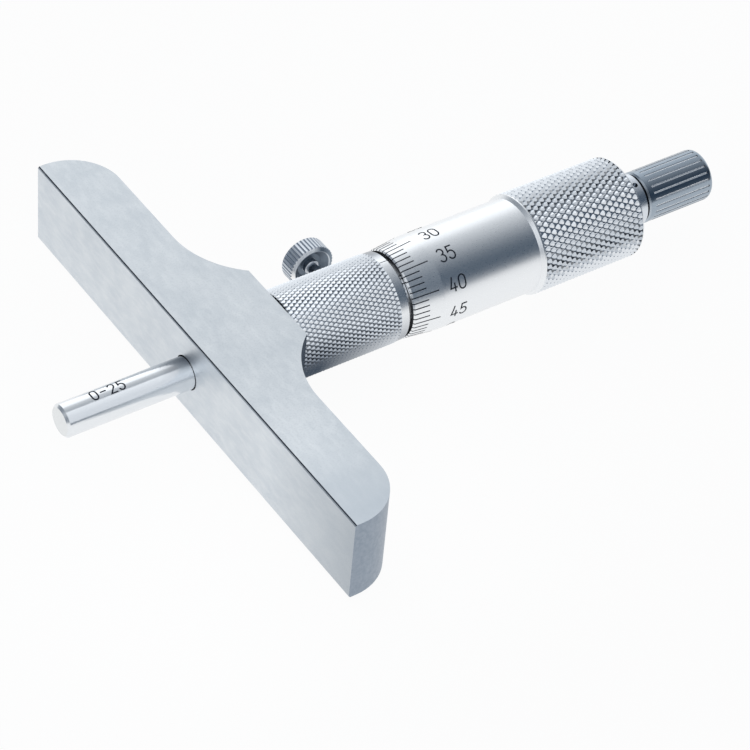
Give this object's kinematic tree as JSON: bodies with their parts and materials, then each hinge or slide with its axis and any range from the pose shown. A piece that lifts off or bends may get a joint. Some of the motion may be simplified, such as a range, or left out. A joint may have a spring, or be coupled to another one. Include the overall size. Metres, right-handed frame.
{
  "type": "depth gauge",
  "caption": "Depth gauge of the micrometer kind, 0 to 25 mm: a T-shaped base with a ground measuring face, a screw-driven rod, graduated thimble, ratchet and side lock screw.",
  "frame": {"origin": "The point where the measuring rod's axis meets the base's measuring face.", "axes": "X runs along the base in its measuring face, Y along the rod's axis from the measuring face to the ratchet (the rod stands out towards -Y), Z through the base's thickness; the gauge lies on its side with -Z down"},
  "size_m": [0.1014, 0.134, 0.019],
  "materials": {
    "base_steel": "satin",
    "satin_chrome": "satin",
    "rod_steel": "ground and polished",
    "ratchet_steel": "satin",
    "inner_steel": "machined",
    "black_steel": "blackened",
    "spring_steel": "bright wire",
    "brass": "machined"
  },
  "bodies": {
    "frame": {"base_plate": "base_steel", "knurled_collar": "satin_chrome", "inner_barrel": "inner_steel", "barrel_set_screw": "black_steel", "graduated_sleeve": "satin_chrome", "wear_nut": "inner_steel"},
    "rod": {"measuring_rod": "rod_steel", "rod_zero_nut": "inner_steel", "rod_lock_nut": "inner_steel"},
    "thimble": {"spindle": "rod_steel", "thimble": "satin_chrome", "ratchet_housing": "ratchet_steel", "ratchet_ring": "inner_steel", "ratchet_screw": "black_steel", "screw_washer": "inner_steel"},
    "ratchet_knob": {"ratchet_knob": "ratchet_steel"},
    "clutch": {"clutch_ring": "inner_steel", "ratchet_spring": "spring_steel"},
    "lock_shoe": {"lock_shoe": "brass"},
    "lock_screw": {"lock_screw": "inner_steel", "lock_knob": "satin_chrome"}
  },
  "joints": [
    {"name": "rod_feed", "type": "slide", "parent": "frame", "child": "rod", "axis": [0, -1, 0], "range_m": [-0.02432, 0.00068]},
    {"name": "thimble_turn", "type": "hinge", "parent": "rod", "child": "thimble", "pos_m": [0, 0.05, 0], "axis": [0, -1, 0], "range_deg": [-17509, 491.1]},
    {"name": "ratchet_turn", "type": "hinge", "parent": "thimble", "child": "ratchet_knob", "pos_m": [0, 0.1, 0], "axis": [0, -1, 0], "continuous": true},
    {"name": "clutch_slide", "type": "slide", "parent": "ratchet_knob", "child": "clutch", "axis": [0, 1, 0], "range_m": [0, 0.0005], "stiffness_N_per_m": 800, "springref_m": -0.001, "deforming": ["ratchet_spring"]},
    {"name": "lock_feed", "type": "slide", "parent": "frame", "child": "lock_shoe", "axis": [-1, 0, 0], "range_m": [-0.0001, 0.0005]},
    {"name": "lock_turn", "type": "hinge", "parent": "lock_shoe", "child": "lock_screw", "pos_m": [-0.0136, 0.0332, 0], "axis": [-1, 0, 0], "range_deg": [-72.1, 360.1]}
  ],
  "couplings": [
    {"joint": "thimble_turn", "follows": "rod_feed", "rad_per_m": 12566},
    {"joint": "lock_turn", "follows": "lock_feed", "rad_per_m": 12566}
  ]
}
